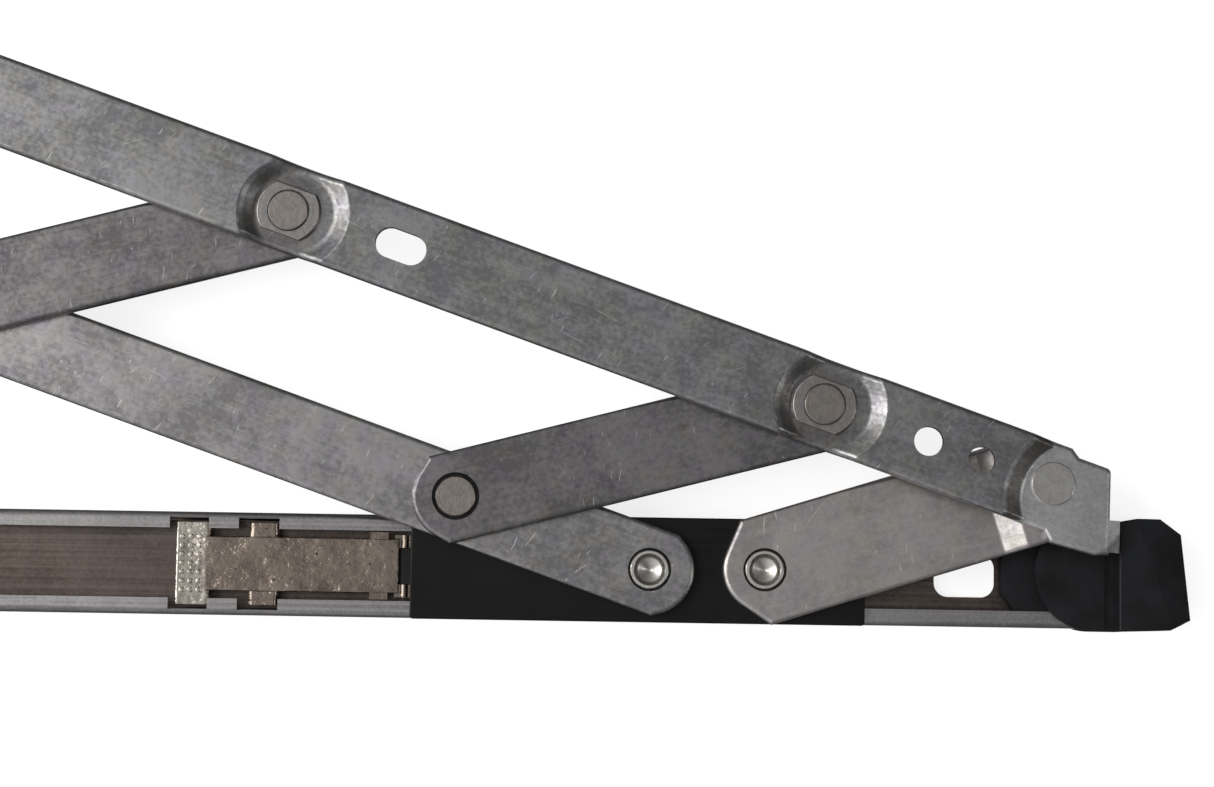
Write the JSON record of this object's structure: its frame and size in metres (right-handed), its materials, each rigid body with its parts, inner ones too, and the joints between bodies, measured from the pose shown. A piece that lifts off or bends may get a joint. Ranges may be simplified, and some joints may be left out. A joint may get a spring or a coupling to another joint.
{
  "type": "friction stay hinge",
  "caption": "Window friction stay: arm linkage on a carriage that slides in a steel track, with a press-to-release spring clip and a moulded end cap.",
  "frame": {"origin": "on the back face of the track, under the long arm's pivot", "axes": "+X along the track towards the end cap, +Y the way the arms open, +Z from the track's back to the vent arm"},
  "size_m": [0.3069, 0.1236, 0.0187],
  "materials": {
    "stainless_vent": "mill-brushed stainless steel, worn",
    "stainless_arm": "mill-brushed stainless steel, worn",
    "stainless_track": "roll-formed stainless steel",
    "rivet_steel": "formed stainless rivet",
    "nickel_spring": "nickel-plated spring steel",
    "black_nylon": "moulded black nylon",
    "black_coat": "satin black coating",
    "washer_plastic": "natural acetal"
  },
  "bodies": {
    "track": {"track": "stainless_track", "end_cap": "black_nylon", "end_cap_screw": "rivet_steel", "end_stop": "black_nylon", "end_stop_rivet": "rivet_steel"},
    "carriage": {"carriage_plate": "black_coat", "carriage_shoe": "black_nylon", "long_arm_rivet": "rivet_steel", "short_arm_rivet": "rivet_steel", "long_arm_washer": "washer_plastic", "short_arm_washer": "washer_plastic"},
    "clip": {"release_clip": "nickel_spring"},
    "long_arm": {"long_arm": "stainless_arm", "front_link_rivet": "rivet_steel", "rear_link_rivet": "rivet_steel", "front_link_washer": "washer_plastic", "rear_link_washer": "washer_plastic"},
    "front_bar": {"front_link_bar": "stainless_arm", "vent_front_washer": "washer_plastic"},
    "rear_bar": {"rear_link_bar": "stainless_arm", "vent_rear_washer": "washer_plastic"},
    "vent_arm": {"vent_arm": "stainless_vent", "vent_front_rivet": "rivet_steel", "vent_rear_rivet": "rivet_steel", "vent_front_collar": "rivet_steel", "vent_rear_collar": "rivet_steel"},
    "short_arm": {"short_arm": "stainless_arm", "vent_tip_rivet": "rivet_steel", "vent_tip_washer": "washer_plastic"}
  },
  "joints": [
    {"name": "carriage_slide", "type": "slide", "parent": "track", "child": "carriage", "axis": [1, 0, 0], "range_m": [-0.082, 0]},
    {"name": "clip_press", "type": "hinge", "parent": "carriage", "child": "clip", "pos_m": [-0.05245, 0, 0.005], "axis": [0, -1, 0], "range_deg": [0, 2.8], "stiffness_Nm_per_rad": 0.6},
    {"name": "long_arm_pivot", "type": "hinge", "parent": "carriage", "child": "long_arm", "pos_m": [0, 0, 0.01055], "axis": [0, 0, -1], "range_deg": [-19.06, 35.94]},
    {"name": "short_arm_pivot", "type": "hinge", "parent": "carriage", "child": "short_arm", "pos_m": [0.0245, 0.00032, 0.01055], "axis": [0, 0, 1], "range_deg": [-18.44, 34.67]},
    {"name": "front_bar_pivot", "type": "hinge", "parent": "long_arm", "child": "front_bar", "pos_m": [-0.04141, 0.01482, 0.01305], "axis": [0, 0, 1], "range_deg": [-34.64, 65.22]},
    {"name": "rear_bar_pivot", "type": "hinge", "parent": "long_arm", "child": "rear_bar", "pos_m": [-0.15596, 0.0544, 0.01305], "axis": [0, 0, 1], "range_deg": [-34.64, 65.22]},
    {"name": "vent_arm_pivot", "type": "hinge", "parent": "front_bar", "child": "vent_arm", "pos_m": [0.03645, 0.03529, 0.0155], "axis": [0, 0, -1], "range_deg": [-34.64, 65.22]}
  ],
  "couplings": [
    {"joint": "short_arm_pivot", "follows": "long_arm_pivot", "ratio": 0.962},
    {"joint": "front_bar_pivot", "follows": "long_arm_pivot", "ratio": 1.812},
    {"joint": "rear_bar_pivot", "follows": "long_arm_pivot", "ratio": 1.812},
    {"joint": "vent_arm_pivot", "follows": "long_arm_pivot", "ratio": 1.812}
  ]
}
